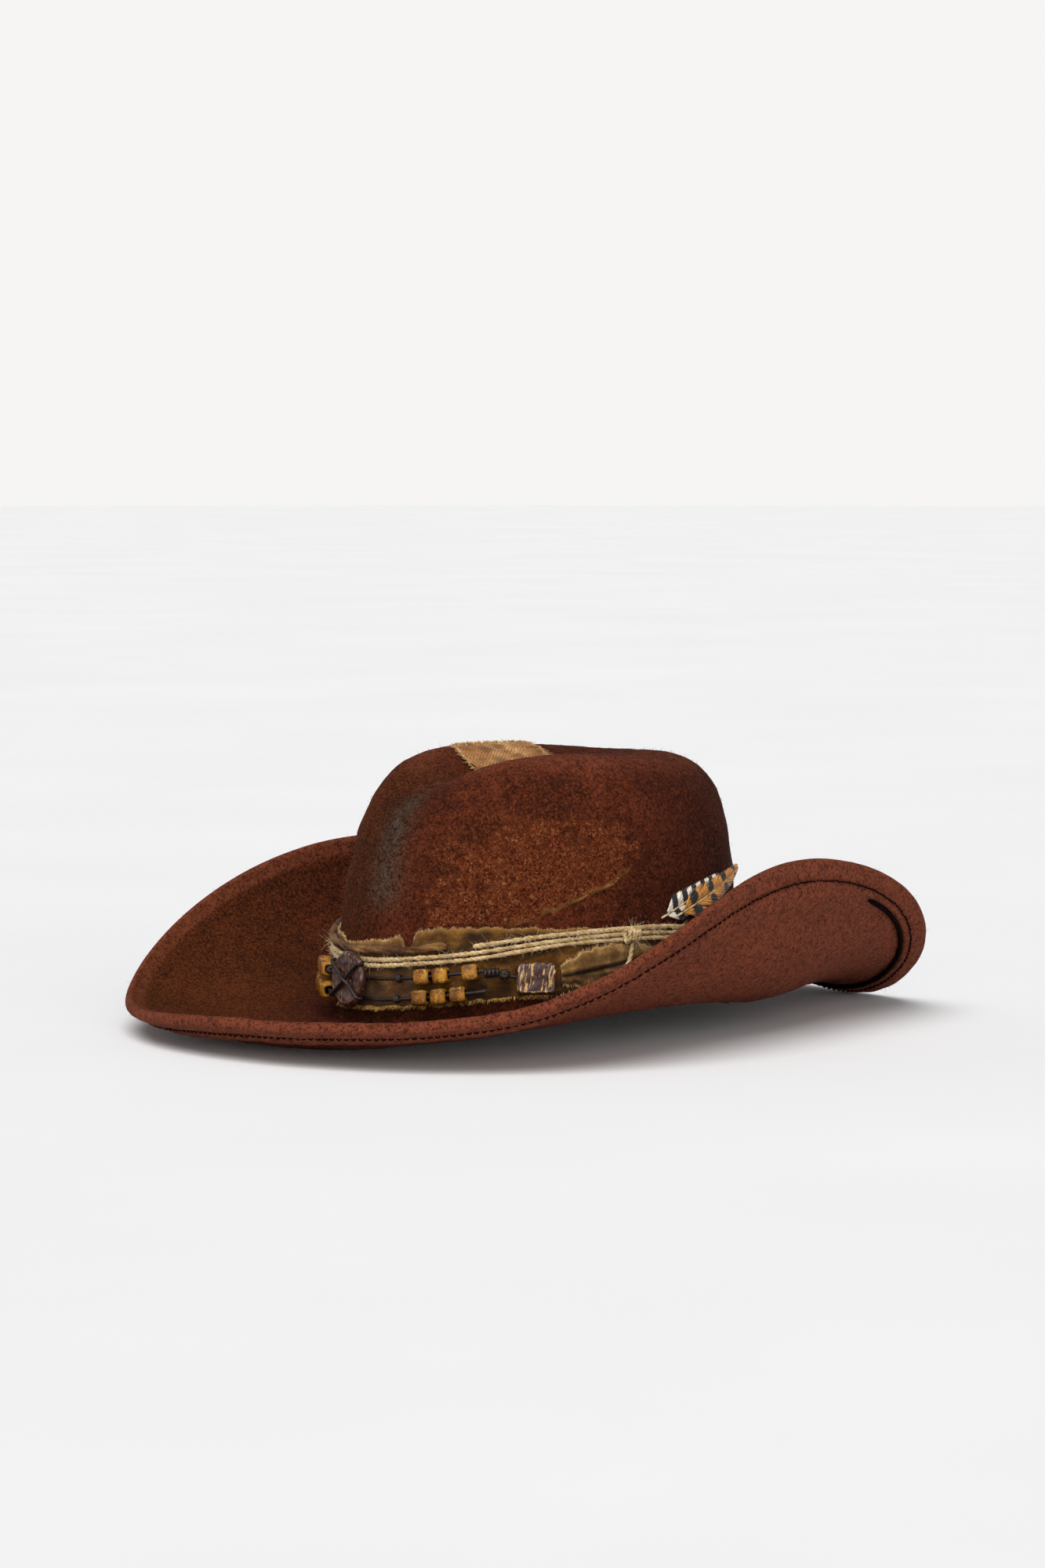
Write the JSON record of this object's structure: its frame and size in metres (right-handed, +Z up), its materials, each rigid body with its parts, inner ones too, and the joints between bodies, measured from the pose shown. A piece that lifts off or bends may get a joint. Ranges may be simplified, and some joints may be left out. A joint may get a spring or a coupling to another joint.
{
  "type": "wide-brimmed felt hat",
  "caption": "Distressed brown felt hat with a creased crown, rolled brim, and a rag and twine hatband with beads, button and feathers.",
  "frame": {"origin": "on the floor, under the middle of the felt outline", "axes": "+Z up; the front of the hat faces -Y; +X is the wearer's left"},
  "size_m": [0.3328, 0.4098, 0.1368],
  "materials": {
    "felt": "rough wool felt, worn",
    "leather": "matt worn leather",
    "reed": "matt",
    "band_cloth": "coarse frayed weave",
    "tan_cloth": "coarse frayed weave",
    "sacking": "open plain weave",
    "jute": "hairy twisted twine",
    "waxed_cord": "waxed, slightly glossy",
    "thread": "matt thread",
    "bead_wood": "oiled, rubbed edges",
    "nutshell": "polished, speckled",
    "feather": "soft barbs"
  },
  "bodies": {
    "hat": {"felt_body": "felt", "brim_cord": "waxed_cord", "edge_stitching": "thread", "sweatband": "leather", "sweatband_reed": "reed", "band_cloth": "band_cloth", "twine_turn_1": "jute", "twine_turn_2": "jute", "twine_turn_3": "jute", "rolled_strip": "tan_cloth", "waxed_cord_upper": "waxed_cord", "waxed_cord_lower": "waxed_cord", "shell_button": "nutshell", "button_lashing": "waxed_cord", "knotted_sleeve": "waxed_cord", "ball_knot": "waxed_cord", "shell_tile": "nutshell", "rag_leaf_upper": "band_cloth", "rag_leaf_lower": "tan_cloth", "twine_knot": "jute", "feather_striped": "feather", "feather_golden": "feather", "crown_patch": "sacking", "twine_tail": "jute"},
    "bead_upper_1_body": {"bead_upper_1": "bead_wood"},
    "bead_upper_2_body": {"bead_upper_2": "bead_wood"},
    "bead_upper_3_body": {"bead_upper_3": "bead_wood"},
    "bead_lower_1_body": {"bead_lower_1": "bead_wood"},
    "bead_lower_2_body": {"bead_lower_2": "bead_wood"},
    "bead_lower_3_body": {"bead_lower_3": "bead_wood"},
    "bead_left_upper_1_body": {"bead_left_upper_1": "bead_wood"},
    "bead_left_upper_2_body": {"bead_left_upper_2": "bead_wood"},
    "bead_left_lower_1_body": {"bead_left_lower_1": "bead_wood"},
    "bead_left_lower_2_body": {"bead_left_lower_2": "bead_wood"},
    "bead_left_lower_3_body": {"bead_left_lower_3": "bead_wood"}
  },
  "joints": [
    {"name": "bead_upper_1_spin", "type": "hinge", "parent": "hat", "child": "bead_upper_1_body", "pos_m": [0.03752, -0.09603, 0.03324], "axis": [0.826, 0.5522, 0.113], "continuous": true},
    {"name": "bead_upper_2_spin", "type": "hinge", "parent": "hat", "child": "bead_upper_2_body", "pos_m": [0.04486, -0.09055, 0.03433], "axis": [0.7637, 0.6337, 0.1231], "continuous": true},
    {"name": "bead_upper_3_spin", "type": "hinge", "parent": "hat", "child": "bead_upper_3_body", "pos_m": [0.05491, -0.08086, 0.03612], "axis": [0.6621, 0.7382, 0.1294], "continuous": true},
    {"name": "bead_lower_1_spin", "type": "hinge", "parent": "hat", "child": "bead_lower_1_body", "pos_m": [0.03718, -0.09701, 0.02332], "axis": [0.8332, 0.541, 0.1143], "continuous": true},
    {"name": "bead_lower_2_spin", "type": "hinge", "parent": "hat", "child": "bead_lower_2_body", "pos_m": [0.04467, -0.09157, 0.02444], "axis": [0.7716, 0.6236, 0.1252], "continuous": true},
    {"name": "bead_lower_3_spin", "type": "hinge", "parent": "hat", "child": "bead_lower_3_body", "pos_m": [0.05157, -0.0854, 0.02564], "axis": [0.706, 0.6959, 0.1311], "continuous": true},
    {"name": "bead_left_upper_1_spin", "type": "hinge", "parent": "hat", "child": "bead_left_upper_1_body", "pos_m": [-0.03355, -0.10432, 0.03148], "axis": [0.9285, -0.3626, -0.0798], "continuous": true},
    {"name": "bead_left_upper_2_spin", "type": "hinge", "parent": "hat", "child": "bead_left_upper_2_body", "pos_m": [-0.04199, -0.10045, 0.03232], "axis": [0.8792, -0.4659, -0.0992], "continuous": true},
    {"name": "bead_left_lower_1_spin", "type": "hinge", "parent": "hat", "child": "bead_left_lower_1_body", "pos_m": [-0.03212, -0.10547, 0.02146], "axis": [0.9374, -0.3395, -0.0771], "continuous": true},
    {"name": "bead_left_lower_2_spin", "type": "hinge", "parent": "hat", "child": "bead_left_lower_2_body", "pos_m": [-0.04065, -0.10181, 0.02228], "axis": [0.8909, -0.4435, -0.0977], "continuous": true},
    {"name": "bead_left_lower_3_spin", "type": "hinge", "parent": "hat", "child": "bead_left_lower_3_body", "pos_m": [-0.04871, -0.09722, 0.02327], "axis": [0.8357, -0.5373, -0.1137], "continuous": true}
  ]
}
